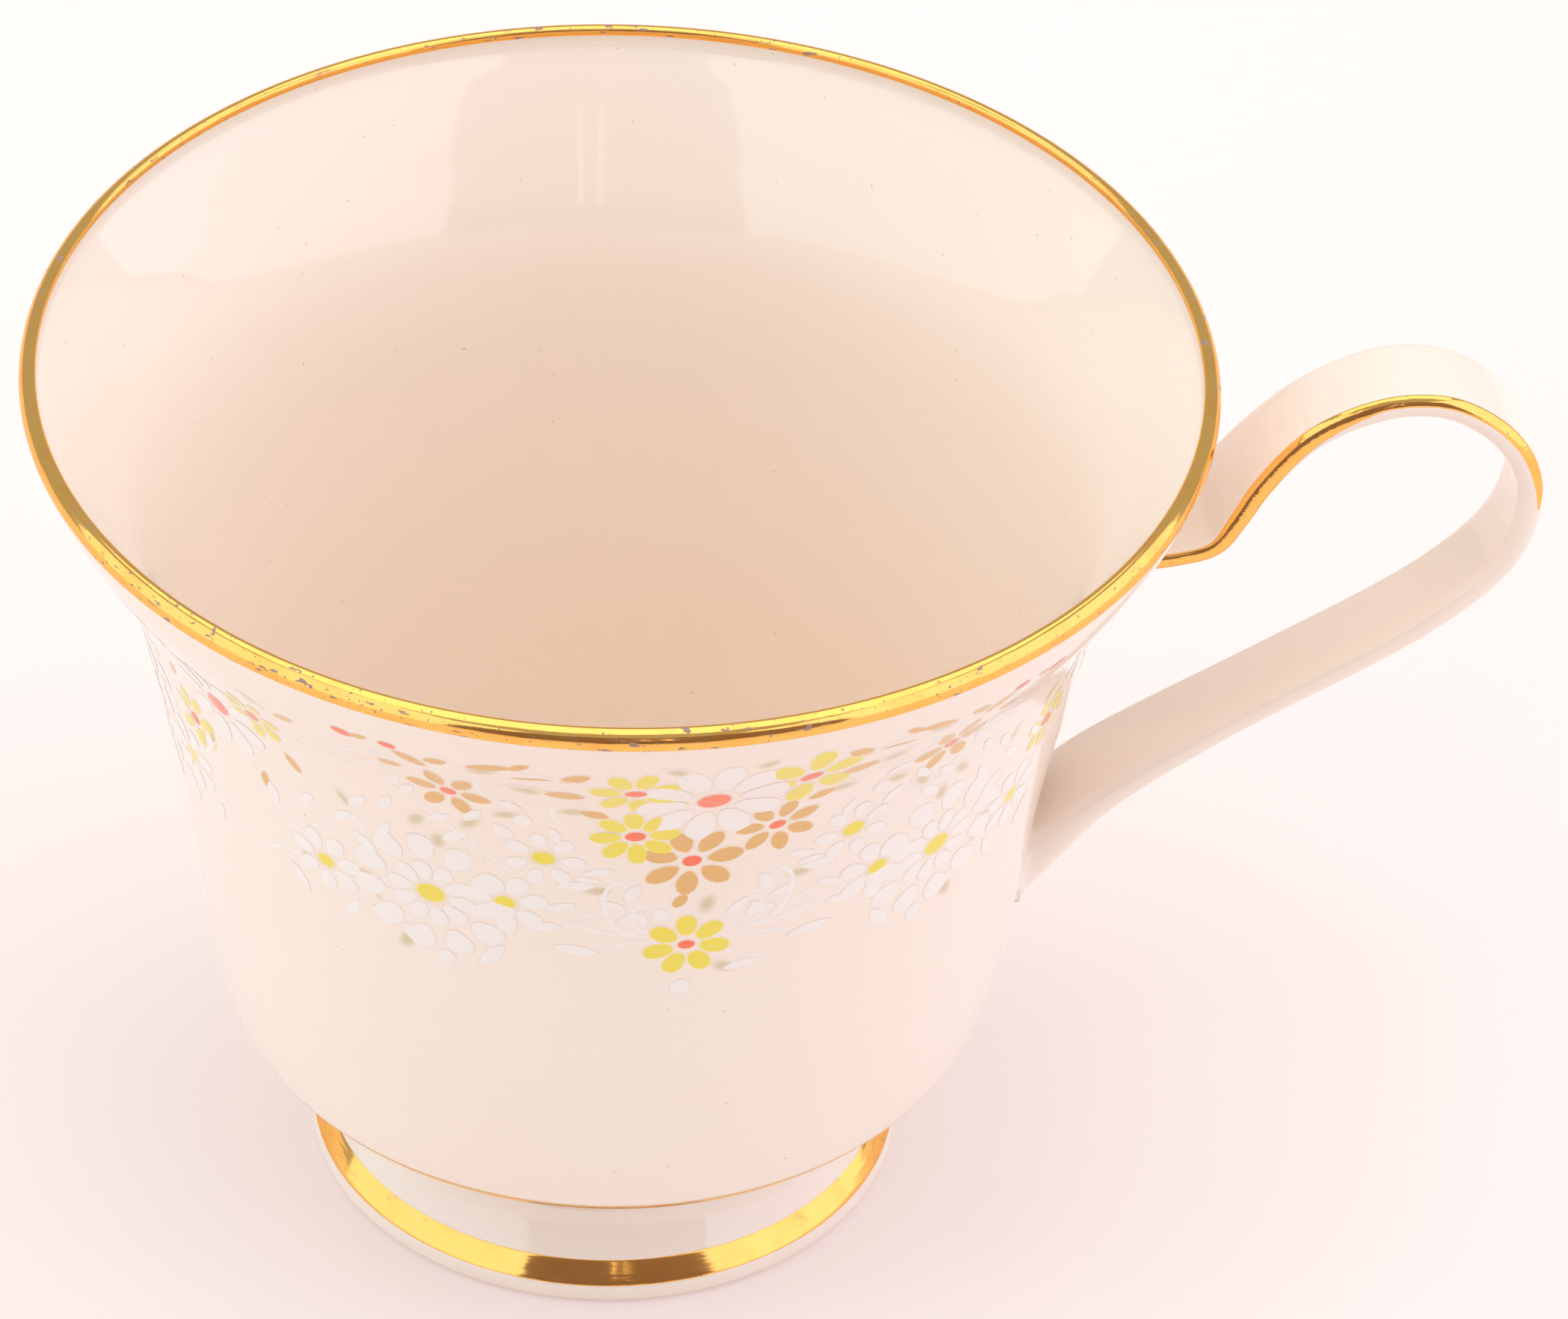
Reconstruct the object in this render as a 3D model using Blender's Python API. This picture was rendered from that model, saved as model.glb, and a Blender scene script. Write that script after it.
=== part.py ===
"""Footed bone-china teacup: bowl, foot, handle, slip joints, gilding and floral transfers.

The cup stands on z = 0 with its handle towards +X. The world origin is under the middle of the
whole cup, handle included, so the bowl's own axis lies at x = AXIS_X. Lengths are millimetres
until mesh_object turns them into metres.
"""

import math

import bpy
import numpy as np

MM = 0.001

# Driving dimensions, millimetres, measured from the bowl's axis and the table
LIP_CENTRE = (46.65, 77.25)  # middle of the rounded lip
LIP_RADIUS = 0.55  # half the china's thickness at the lip
LIP_ARC = (160, 10, 5)  # degrees where the rounding starts and ends, and its facets
SEAT_RADIUS = 21.5  # outside of the flat ring under the bowl where the foot is joined
SEAT_INNER = 18.9
SEAT_HEIGHT = 8.8
FOOT_TOP = 8.2
FOOT_STAND = (21.9, 23.5)  # inside and outside of the ring that stands on the table
SKIN_GAP = 0.12  # clearance between the china and a skin on it
SKIN_THICKNESS = 0.18
JOINT_GAP = 0.15  # clearance each side of a slip joint
JOINT_THICKNESS = 0.3
SIDES = 72  # facets round every turned piece
MERGE = 0.00005  # metres, where a turned outline closes on itself

# Outer wall from under the lip to the foot's seat, (radius, height)
OUTER_WALL = (
    (47.2, 77.0), (46.8, 75.3), (45.75, 73.0), (44.4, 70.6), (43.0, 68.35), (41.5, 65.9),
    (40.2, 63.1), (39.2, 60.3), (38.5, 57.4), (36.7, 48.6), (35.1, 39.8), (33.9, 30.9),
    (32.6, 22.0), (31.7, 18.3), (30.75, 16.4), (29.4, 14.9), (25.5, 11.6), (SEAT_RADIUS, 8.95),
)
# Inner wall from the middle of the floor up to the lip
INNER_WALL = (
    (0.0, 11.0), (12.0, 11.1), (20.0, 11.8), (25.2, 13.8), (28.6, 17.2), (30.3, 22.4),
    (31.8, 31.1), (33.1, 40.1), (34.7, 49.0), (36.5, 57.9), (38.4, 63.8), (41.4, 69.3),
    (44.4, 74.1), (45.85, 76.2),
)
# Outside of the foot from its joint down to the table
FOOT_OUTSIDE = (
    (21.4, FOOT_TOP), (21.3, 7.2), (21.8, 5.7), (22.8, 3.9), (23.7, 2.5), (24.2, 1.6),
    (24.3, 0.9), (24.05, 0.3), (FOOT_STAND[1], 0.0),
)
FOOT_INSIDE = ((FOOT_STAND[0], 0.0), (21.4, 0.5), (20.4, 3.6), (19.2, 7.0), (SEAT_INNER, FOOT_TOP))

# Middle line of the handle, (distance from the axis, height), from inside the wall and round
HANDLE_LINE = (
    (34.5, 60.2), (38.5, 60.5), (44.2, 61.0), (47.3, 61.9), (49.0, 64.0), (50.9, 66.9),
    (54.3, 70.7), (58.0, 73.0), (61.8, 74.1), (65.6, 73.8), (69.1, 71.8), (71.4, 69.1),
    (72.5, 66.2), (72.6, 63.8), (72.1, 60.9), (70.9, 58.2), (68.9, 55.7), (65.8, 52.8),
    (62.0, 50.0), (58.3, 47.6), (54.6, 45.3), (50.8, 42.9), (47.0, 40.4), (43.2, 37.8),
    (39.3, 34.8), (36.2, 31.6), (32.2, 27.0),
)
HANDLE_LAST = len(HANDLE_LINE) - 1
# The ribbon's (station of the middle line, width) and (station, thickness), straight in between
HANDLE_WIDTHS = ((0, 11.8), (3.5, 11.2), (6, 8.0), (HANDLE_LAST - 5, 8.0), (HANDLE_LAST, 10.4))
HANDLE_THICKNESSES = (
    (0, 1.9), (3.5, 1.9), (6, 2.3), (HANDLE_LAST - 3, 2.3), (HANDLE_LAST, 4.2),
)
HANDLE_PER_SPAN = 2  # sections to each gap between stations
SECTION_POINTS = 16
SECTION_POWER = 0.55  # 1 is an ellipse, 0 a rectangle
JOINT_REACH = ((20.0, 50.0), (-10.0, 10.0))  # x and y of the blocks that part the two slip joints
UPPER_JOINT_HEIGHTS = (50.0, 70.0)
LOWER_JOINT_HEIGHTS = (20.0, 45.0)

RIM_BAND_DROPS = (0.3, 0.95)  # below the lip's middle, between which the gilding is on the wall
BELLY_LINE_AT = 15.2
BELLY_LINE_WIDTH = 0.5
FOOT_BAND = (1.75, 3.75)  # lowest and highest of the foot's gold band
HANDLE_GILDING_ENDS = (1.75, 13.0)  # stations of the handle's middle line
HANDLE_GILDING_ARC = (6.0, 45.0)  # degrees round the handle's edge, from side to outer face
HANDLE_GILDING_POINTS = 4  # across the line

TRANSFER_HEIGHTS = (44.0, 73.2)
TRANSFER_STEP = 5  # degrees, one facet of the bowl
TRANSFERS = ((-110, -60), (-50, -15), (15, 60), (70, 120), (130, 180), (190, 240))  # degrees

CHINA_COLOUR = (0.86, 0.76, 0.68)
SLIP_COLOUR = (0.80, 0.69, 0.60)
GOLD_COLOUR = (0.80, 0.52, 0.18)
ENAMEL_COLOUR = (0.88, 0.78, 0.60)


def clear_scene():
    for obj in list(bpy.data.objects):
        bpy.data.objects.remove(obj, do_unlink=True)


def smooth_curve(stations, per_span):
    """Points of a centripetal Catmull-Rom curve through the stations, per_span to each gap."""
    inner = np.array(stations, float)
    points = np.vstack([2 * inner[0] - inner[1], inner, 2 * inner[-1] - inner[-2]])
    gaps = np.linalg.norm(np.diff(points, axis=0), axis=1)
    knots = np.concatenate([[0.0], np.cumsum(np.sqrt(gaps))])
    found = []
    for i in range(1, len(points) - 2):
        t = np.linspace(knots[i], knots[i + 1], per_span, endpoint=False)[:, None]
        k = knots[i - 1 : i + 3]
        p = points[i - 1 : i + 3]
        first = [
            (p[j] * (k[j + 1] - t) + p[j + 1] * (t - k[j])) / (k[j + 1] - k[j])
            for j in range(3)
        ]
        second = [
            (first[j] * (k[j + 2] - t) + first[j + 1] * (t - k[j])) / (k[j + 2] - k[j])
            for j in range(2)
        ]
        found.append((second[0] * (k[2] - t) + second[1] * (t - k[1])) / (k[2] - k[1]))
    return np.vstack(found + [points[-2:-1]])


def left_normals(curve):
    """Unit normals on the left of a plane curve, in its direction of travel."""
    along = np.gradient(curve, axis=0)
    along /= np.linalg.norm(along, axis=1)[:, None]
    return np.stack([-along[:, 1], along[:, 0]], axis=1)


def outset(curve, distance):
    """The curve moved out of the china, for a curve that runs down an outer side."""
    return curve + left_normals(curve) * distance


def arc(centre, radius, start, end, steps):
    """Points evenly spaced on a circle between two angles in degrees."""
    turns = np.radians(np.linspace(start, end, steps + 1))
    spokes = np.stack([np.cos(turns), np.sin(turns)], axis=1)
    return centre + radius * spokes


def skin_of(curve):
    """Closed outline of a skin that lies on a stretch of outer side running down."""
    inner = outset(curve, SKIN_GAP)
    outer = outset(curve, SKIN_GAP + SKIN_THICKNESS)
    return np.vstack([outer, inner[::-1]])


def stretch(curve, lowest, highest):
    """The part of a falling curve between two heights, cut exactly at both."""
    radii, heights = curve[::-1, 0], curve[::-1, 1]
    inside = heights[(heights > lowest) & (heights < highest)]
    kept = np.concatenate([[lowest], inside, [highest]])
    return np.stack([np.interp(kept, heights, radii), kept], axis=1)[::-1]


def finish(name, colour, roughness, metallic=0.0):
    """The material of this name, made the first time it is asked for."""
    made = bpy.data.materials.get(name) or bpy.data.materials.new(name)
    made.use_nodes = True
    shader = made.node_tree.nodes["Principled BSDF"]
    shader.inputs["Base Color"].default_value = (*colour, 1.0)
    shader.inputs["Roughness"].default_value = roughness
    shader.inputs["Metallic"].default_value = metallic
    made.diffuse_color = (*colour, 1.0)
    return made


def china():
    return finish("bone_china", CHINA_COLOUR, roughness=0.12)


def slip():
    return finish("slip_joint", SLIP_COLOUR, roughness=0.2)


def gold():
    return finish("burnished_gold", GOLD_COLOUR, roughness=0.18, metallic=1.0)


def enamel():
    return finish("floral_enamel", ENAMEL_COLOUR, roughness=0.3)


def mesh_object(name, points, edges, faces, material, parent):
    mesh = bpy.data.meshes.new(name)
    mesh.from_pydata((np.array(points) * MM).tolist(), edges, faces)
    obj = bpy.data.objects.new(name, mesh)
    bpy.context.scene.collection.objects.link(obj)
    obj.parent = parent
    if material:
        mesh.materials.append(material)
    return obj


def turned(name, outline, material, parent, closed=True):
    """An outline of (radius, height), running down its outer side, turned round the axis."""
    points = [(r, 0.0, z) for r, z in outline]
    edges = [(i, i + 1) for i in range(len(points) - 1)]
    if closed:
        edges.append((len(points) - 1, 0))
    obj = mesh_object(name, points, edges, [], material, parent)
    screw = obj.modifiers.new("turn", "SCREW")
    screw.axis = "Z"
    screw.steps = screw.render_steps = SIDES
    screw.use_merge_vertices = True
    screw.merge_threshold = MERGE
    screw.use_smooth_shade = True
    return obj


def lofted(name, rings, material, parent):
    """A closed body from a row of closed rings of equal length, with a flat face at each end."""
    count = len(rings[0])
    points = np.vstack(rings)
    faces = []
    for row in range(len(rings) - 1):
        for i in range(count):
            j = (i + 1) % count
            a, b = row * count, (row + 1) * count
            faces.append((a + i, a + j, b + j, b + i))
    faces.append(tuple(range(count - 1, -1, -1)))
    last = (len(rings) - 1) * count
    faces.append(tuple(range(last, last + count)))
    obj = mesh_object(name, points, [], faces, material, parent)
    obj.data.shade_smooth()
    return obj


def cutter(obj):
    obj.hide_render = True
    obj.display_type = "WIRE"
    return obj


def boolean(obj, operation, other):
    step = obj.modifiers.new(operation.lower(), "BOOLEAN")
    step.operation = operation
    step.solver = "EXACT"
    step.object = other


def outer_wall():
    return smooth_curve(OUTER_WALL, 1)


def lip():
    return arc(LIP_CENTRE, LIP_RADIUS, *LIP_ARC)


def bowl(parent):
    """One cast wall: floor and inside up to the lip, over it, and down to the foot's seat."""
    seat = [(SEAT_RADIUS, SEAT_HEIGHT), (SEAT_INNER, SEAT_HEIGHT), (0.0, SEAT_HEIGHT)]
    outline = np.vstack([smooth_curve(INNER_WALL, 1), lip(), outer_wall(), seat])
    return turned("bowl", outline, china(), parent, closed=False)


def foot(parent):
    """The pedestal ring: flared outside, rounded at the table, hollow underneath."""
    outline = np.vstack([smooth_curve(FOOT_OUTSIDE, 1), FOOT_INSIDE])
    return turned("foot", outline, china(), parent)


def foot_slip_seam(parent):
    """The flat ring of slip between the foot and the bowl's seat."""
    top = SEAT_HEIGHT - JOINT_GAP
    bottom = FOOT_TOP + JOINT_GAP
    outline = [
        (SEAT_RADIUS, top), (SEAT_RADIUS, bottom), (SEAT_INNER, bottom), (SEAT_INNER, top),
    ]
    return turned("foot_slip_seam", outline, slip(), parent)


def rim_gilding(parent):
    """Gold carried over the lip, down a little inside and further down outside."""
    highest, lowest = (LIP_CENTRE[1] - drop for drop in RIM_BAND_DROPS)
    down = stretch(outer_wall(), lowest, highest)
    return turned("rim_gilding", skin_of(np.vstack([lip(), down])), gold(), parent)


def belly_gilding_line(parent):
    """The hairline of gold round the turn of the belly."""
    half = BELLY_LINE_WIDTH / 2
    line = stretch(outer_wall(), BELLY_LINE_AT - half, BELLY_LINE_AT + half)
    return turned("belly_gilding_line", skin_of(line), gold(), parent)


def foot_gilding_band(parent):
    """The broad gold band on the foot's flare."""
    band = stretch(smooth_curve(FOOT_OUTSIDE, 1), *FOOT_BAND)
    return turned("foot_gilding_band", skin_of(band), gold(), parent)


def handle_sizes(count):
    """(width, thickness) at each point of the handle, fuller where it meets the wall."""
    at = np.linspace(0, HANDLE_LAST, count)
    return [np.interp(at, *zip(*sizes)) for sizes in (HANDLE_WIDTHS, HANDLE_THICKNESSES)]


def section_ring(middle, normal, half_width, half_thickness, angles):
    """A rounded-rectangle section across the handle: +y is its width, normal its thickness."""
    across = np.cos(angles)
    through = np.sin(angles)
    y = half_width * np.sign(across) * np.abs(across) ** SECTION_POWER
    n = half_thickness * np.sign(through) * np.abs(through) ** SECTION_POWER
    plane = middle + n[:, None] * normal
    return np.stack([plane[:, 0], y, plane[:, 1]], axis=1)


def handle_rings(angles, grow=0.0, span=None):
    """Sections of the handle's surface, set out by grow, at every point of its middle line."""
    line = smooth_curve(HANDLE_LINE, HANDLE_PER_SPAN)
    normals = left_normals(line)
    width, thickness = handle_sizes(len(line))
    first, last = (round(end * HANDLE_PER_SPAN) for end in span or (0, HANDLE_LAST))
    return [
        section_ring(line[i], normals[i], width[i] / 2 + grow, thickness[i] / 2 + grow, angles)
        for i in range(first, last + 1)
    ]


def handle_blank(name, material, parent):
    """The whole ribbon, running on into the wall at both ends."""
    angles = np.arange(SECTION_POINTS) * math.tau / SECTION_POINTS
    return lofted(name, handle_rings(angles), material, parent)


def wall_solid(name, distance, parent):
    """The space inside the outer wall set out by a distance, for cutting the handle to it."""
    outline = outset(outer_wall(), distance)
    closed_outline = np.vstack([[(0.0, outline[0, 1])], outline, [(0.0, outline[-1, 1])]])
    return cutter(turned(name, closed_outline, None, parent, closed=False))


def handle(parent):
    """The ribbon loop, cut back to clear the wall by both gaps and the slip."""
    obj = handle_blank("handle", china(), parent)
    clear = wall_solid("wall_for_handle", 2 * JOINT_GAP + JOINT_THICKNESS, parent)
    boolean(obj, "DIFFERENCE", clear)
    return obj


def handle_slip_joint(name, heights, parent):
    """The pad of slip between one end of the handle and the wall, which it follows."""
    obj = handle_blank(name, slip(), parent)
    outer = wall_solid(name + "_outer", JOINT_GAP + JOINT_THICKNESS, parent)
    inner = wall_solid(name + "_inner", JOINT_GAP, parent)
    boolean(obj, "INTERSECT", outer)
    boolean(obj, "DIFFERENCE", inner)
    corners = [(x, y, z) for x in JOINT_REACH[0] for y in JOINT_REACH[1] for z in heights]
    faces = [(0, 1, 3, 2), (4, 6, 7, 5), (0, 4, 5, 1), (2, 3, 7, 6), (0, 2, 6, 4), (1, 5, 7, 3)]
    block = cutter(mesh_object(name + "_end", corners, [], faces, None, parent))
    boolean(obj, "INTERSECT", block)
    return obj


def handle_gilding(name, side, parent):
    """A line of gold along one edge of the handle's outer face; side is -1 or +1 in y."""
    start, end = (math.radians(a) for a in HANDLE_GILDING_ARC)
    angles = np.linspace(start, end, HANDLE_GILDING_POINTS)
    if side < 0:
        angles = math.pi - angles[::-1]
    outer = handle_rings(angles, SKIN_GAP + SKIN_THICKNESS, HANDLE_GILDING_ENDS)
    inner = handle_rings(angles[::-1], SKIN_GAP, HANDLE_GILDING_ENDS)
    rings = [np.vstack(pair) for pair in zip(outer, inner)]
    return lofted(name, rings, gold(), parent)


def floral_transfer(number, first, last, parent):
    """One sheet of enamel flowers, a thin curved plate on the upper wall."""
    radius, height = skin_of(stretch(outer_wall(), *TRANSFER_HEIGHTS)).T
    turns = np.radians(np.arange(first, last + 1, TRANSFER_STEP))
    rings = [
        np.stack([radius * math.cos(turn), radius * math.sin(turn), height], axis=1)
        for turn in turns
    ]
    return lofted(f"floral_transfer_{number}", rings, enamel(), parent)


def cup():
    """Places the bowl's axis so that the whole cup is centred on the world origin in x."""
    proud = SKIN_GAP + SKIN_THICKNESS
    rim = LIP_CENTRE[0] + LIP_RADIUS + proud
    outer_gold = handle_rings(np.radians(HANDLE_GILDING_ARC), proud, HANDLE_GILDING_ENDS)
    reach = max(ring[:, 0].max() for ring in outer_gold)
    axis = bpy.data.objects.new("cup_axis", None)
    axis.location.x = (rim - reach) / 2 * MM
    bpy.context.scene.collection.objects.link(axis)
    bowl(axis)
    foot(axis)
    foot_slip_seam(axis)
    handle(axis)
    handle_slip_joint("handle_upper_slip_joint", UPPER_JOINT_HEIGHTS, axis)
    handle_slip_joint("handle_lower_slip_joint", LOWER_JOINT_HEIGHTS, axis)
    rim_gilding(axis)
    belly_gilding_line(axis)
    foot_gilding_band(axis)
    handle_gilding("handle_gilding_near", -1, axis)
    handle_gilding("handle_gilding_far", 1, axis)
    for number, (first, last) in enumerate(TRANSFERS, start=1):
        floral_transfer(number, first, last, axis)


clear_scene()
cup()
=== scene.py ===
"""Looks of the footed bone-china teacup with burnished gold and enamel flowers.

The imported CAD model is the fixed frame. Every piece below is a smooth surface in that frame, in
millimetres until mesh_piece() turns it into metres, with the bowl's own axis standing at AXIS_X.
"""

import math

import bmesh
import bpy
import numpy as np
from mathutils import Matrix, Vector


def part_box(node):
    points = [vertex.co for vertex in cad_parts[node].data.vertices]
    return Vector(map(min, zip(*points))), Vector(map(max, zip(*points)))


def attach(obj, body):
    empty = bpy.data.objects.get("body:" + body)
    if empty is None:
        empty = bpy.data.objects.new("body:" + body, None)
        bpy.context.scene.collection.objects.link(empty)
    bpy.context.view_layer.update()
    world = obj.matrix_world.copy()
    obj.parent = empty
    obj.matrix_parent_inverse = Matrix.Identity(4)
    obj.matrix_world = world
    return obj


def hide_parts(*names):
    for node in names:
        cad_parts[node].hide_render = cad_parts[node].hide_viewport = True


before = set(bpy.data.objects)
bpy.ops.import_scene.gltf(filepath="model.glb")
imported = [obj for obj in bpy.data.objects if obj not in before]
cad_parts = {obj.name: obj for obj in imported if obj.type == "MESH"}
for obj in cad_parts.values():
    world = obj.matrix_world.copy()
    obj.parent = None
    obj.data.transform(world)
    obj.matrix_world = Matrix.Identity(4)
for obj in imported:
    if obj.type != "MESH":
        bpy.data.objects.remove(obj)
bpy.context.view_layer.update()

# ------------------------------------------------------------------------------------------ bowl
# Cast bone china, about two millimetres thick: an upright lower wall turning in over a narrow
# foot, flaring out to a thin rounded lip. It is fired, then glazed inside and out.

MM = 0.001
foot_low, foot_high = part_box("foot")
AXIS_X = (foot_low.x + foot_high.x) / 2 / MM
TURN_STEPS = 288  # columns round every turned piece
MERGED = 1e-8  # metres, below which two points are one

LIP_INSIDE = ((45.87, 76.9), (45.91, 77.6), (46.10, 77.79))  # tight turn at the inner edge
LIP_CENTRE = (46.05, 76.72)  # of the fuller outer turn
LIP_RADIUS = 1.15
LIP_TURNS = (75.0, 0.0)  # degrees, from its top round to its outer side
LIP_STEPS = 24
SEAT_RADIUS = 21.5
SEAT_HEIGHT = 8.8  # of the flat under the bowl, inside the foot
SEAT_EDGE = (0.25, 2.0)  # points in from its corner
OUTER_WALL = (
    (47.19, 76.55), (46.8, 75.3), (45.75, 73.0), (44.4, 70.6), (43.0, 68.35), (41.5, 65.9),
    (40.2, 63.1), (39.2, 60.3), (38.5, 57.4), (36.7, 48.6), (35.1, 39.8), (33.9, 30.9),
    (32.6, 22.0), (31.7, 18.3), (30.75, 16.4), (29.4, 14.9), (25.5, 11.6), (SEAT_RADIUS, 8.95),
)
INNER_WALL = (
    (0.0, 11.0), (12.0, 11.1), (20.0, 11.8), (25.2, 13.8), (28.6, 17.2), (30.3, 22.4),
    (31.8, 31.1), (33.1, 40.1), (34.7, 49.0), (36.5, 57.9), (38.4, 63.8), (41.4, 69.3),
    (44.4, 74.1), (45.85, 76.2),
)


def smooth_line(stations, per_span=8):
    """A centripetal Catmull-Rom line: on each span, three straight blends of neighbouring
    stations are blended again in pairs and then once more, by knots at the square root of the
    distance between stations."""
    inner = np.array(stations, float)
    p = np.vstack([2 * inner[0] - inner[1], inner, 2 * inner[-1] - inner[-2]])
    gaps = np.linalg.norm(np.diff(p, axis=0), axis=1)
    knots = np.concatenate([[0.0], np.cumsum(np.sqrt(gaps))])
    span = np.repeat(np.arange(1, len(p) - 2), per_span)
    share = np.tile(np.arange(per_span) / per_span, len(p) - 3)
    t = knots[span] + share * (knots[span + 1] - knots[span])

    def between(a, b, first, last):
        weight = ((t - knots[first]) / (knots[last] - knots[first]))[:, None]
        return a * (1 - weight) + b * weight

    once = [between(p[span + j - 1], p[span + j], span + j - 1, span + j) for j in range(3)]
    twice = [between(once[j], once[j + 1], span + j - 1, span + j + 1) for j in range(2)]
    return np.vstack([between(*twice, span, span + 1), inner[-1:]])


def arc(centre, radius, start, end, steps):
    """Points on a circle: centre plus radius times (cosine, sine) of evenly spaced angles."""
    turns = np.radians(np.linspace(start, end, steps + 1))
    return np.stack([centre[0] + radius * np.cos(turns), centre[1] + radius * np.sin(turns)], 1)


def surface(name, grid, loop_rows=False, loop_columns=False):
    """A mesh on a grid of points (rows, columns, 3) in millimetres. Each cell is one face, its
    corners taken down the rows and then across the columns, so that a grid whose rows run down
    an outer side and whose columns run anticlockwise faces out. Coincident points become one."""
    rows, columns = grid.shape[:2]
    index = np.arange(rows * columns).reshape(rows, columns)
    if loop_rows:
        index = np.vstack([index, index[:1]])
    if loop_columns:
        index = np.hstack([index, index[:, :1]])
    a, b, c, d = index[:-1, :-1], index[1:, :-1], index[1:, 1:], index[:-1, 1:]
    faces = np.stack([a, b, c, d], axis=-1).reshape(-1, 4)
    return mesh_piece(name, grid.reshape(-1, 3), faces)


def mesh_piece(name, points, faces, values=None):
    """A smooth-shaded piece from points in millimetres and equal faces, doubles merged. values
    holds named numbers, one for each point, that a material can read."""
    mesh = bpy.data.meshes.new(name)
    mesh.from_pydata((np.asarray(points) * MM).tolist(), [], faces.tolist())
    for key, numbers in (values or {}).items():
        layer = mesh.attributes.new(key, "FLOAT", "POINT")
        layer.data.foreach_set("value", np.asarray(numbers, np.float32).ravel())
    shape = bmesh.new()
    shape.from_mesh(mesh)
    bmesh.ops.remove_doubles(shape, verts=shape.verts, dist=MERGED)
    shape.to_mesh(mesh)
    shape.free()
    mesh.shade_smooth()
    piece = bpy.data.objects.new(name, mesh)
    bpy.context.scene.collection.objects.link(piece)
    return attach(piece, "root")


def turned(name, outline, loop=False):
    """An outline of (radius, height) carried round the bowl's axis: the point at angle a is
    (AXIS_X + radius cos a, radius sin a, height)."""
    angle = np.arange(TURN_STEPS) * math.tau / TURN_STEPS
    radius, height = outline[:, :1], outline[:, 1:]
    level = height + np.zeros(TURN_STEPS)
    grid = np.stack([AXIS_X + radius * np.cos(angle), radius * np.sin(angle), level], axis=-1)
    return surface(name, grid, loop_rows=loop, loop_columns=True)


class Value:
    """A number that a node gives out, so that masks are written as plain arithmetic."""

    def __init__(self, finish, socket):
        self.finish, self.socket = finish, socket

    def _math(self, operation, *operands):
        return self.finish.node("ShaderNodeMath", {"operation": operation}, dict(enumerate(operands)))

    def __add__(self, other):
        return self._math("ADD", self, other)

    def __sub__(self, other):
        return self._math("SUBTRACT", self, other)

    def __rsub__(self, other):
        return self._math("SUBTRACT", other, self)

    def __mul__(self, other):
        return self._math("MULTIPLY", self, other)

    __radd__ = __add__
    __rmul__ = __mul__

    def rise(self, low, high):
        """0 below low, 1 above high and a smooth step between."""
        return self.finish.node(
            "ShaderNodeMapRange",
            {"interpolation_type": "SMOOTHSTEP"},
            {"Value": self, "From Min": low, "From Max": high},
        )


class Finish:
    """A material under construction: a Principled shader and the nodes that feed it."""

    def __init__(self, name, constants):
        self.material = bpy.data.materials.new(name)
        self.material.use_nodes = True
        self.tree = self.material.node_tree
        self.shader = self.tree.nodes["Principled BSDF"]
        self.output = self.tree.nodes["Material Output"]
        self.feed(self.shader, constants)

    def feed(self, node, inputs):
        for key, given in inputs.items():
            socket = node.inputs[key]
            if isinstance(given, Value):
                self.tree.links.new(given.socket, socket)
            elif isinstance(given, tuple) and len(given) == 3 and socket.type == "RGBA":
                socket.default_value = (*given, 1.0)
            else:
                socket.default_value = given

    def node(self, kind, settings=None, inputs=None, out=0):
        """Any node: its type, its settings, which are set first, then its sockets."""
        made = self.tree.nodes.new(kind)
        for key, setting in (settings or {}).items():
            setattr(made, key, setting)
        self.feed(made, inputs or {})
        return Value(self, made.outputs[out])

    def place(self):
        return self.node("ShaderNodeTexCoord", out="Object")

    def noise(self, scale, detail=2.0, stretch=(1.0, 1.0, 1.0)):
        """Noise on Object coordinates; scale counts its waves in a metre."""
        at = self.node("ShaderNodeMapping", None, {"Vector": self.place(), "Scale": stretch})
        return self.node("ShaderNodeTexNoise", None, {"Vector": at, "Scale": scale, "Detail": detail})

    def mix(self, share, first, second):
        """A colour part of the way from first to second."""
        return self.node(
            "ShaderNodeMix", {"data_type": "RGBA"}, {0: share, 6: first, 7: second}, out=2
        )

    def bump(self, height, strength, distance):
        return self.node(
            "ShaderNodeBump", None, {"Height": height, "Strength": strength, "Distance": distance}
        )

    def paint(self, inputs):
        self.feed(self.shader, inputs)
        return self.material


def dress(piece, material, slot, *nodes):
    """Gives a piece its material and stands it in for its CAD nodes. slot is not used."""
    piece.data.materials.append(material)
    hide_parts(*nodes)


GLAZE = {"Roughness": 0.07, "IOR": 1.52, "Coat Weight": 0.25, "Coat Roughness": 0.04}
CHINA = (0.945, 0.820, 0.708)
CHINA_WARM = (0.945, 0.808, 0.688)
IRON_SPECK = (0.30, 0.20, 0.14)

outer_wall = smooth_line(OUTER_WALL)
lip = np.vstack([smooth_line(LIP_INSIDE, 5), arc(LIP_CENTRE, LIP_RADIUS, *LIP_TURNS, LIP_STEPS)])
seat = np.array([(SEAT_RADIUS - inward, SEAT_HEIGHT) for inward in (*SEAT_EDGE, SEAT_RADIUS)])
bowl = turned("cup_bowl", np.vstack([smooth_line(INNER_WALL), lip, outer_wall, seat]))

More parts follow.
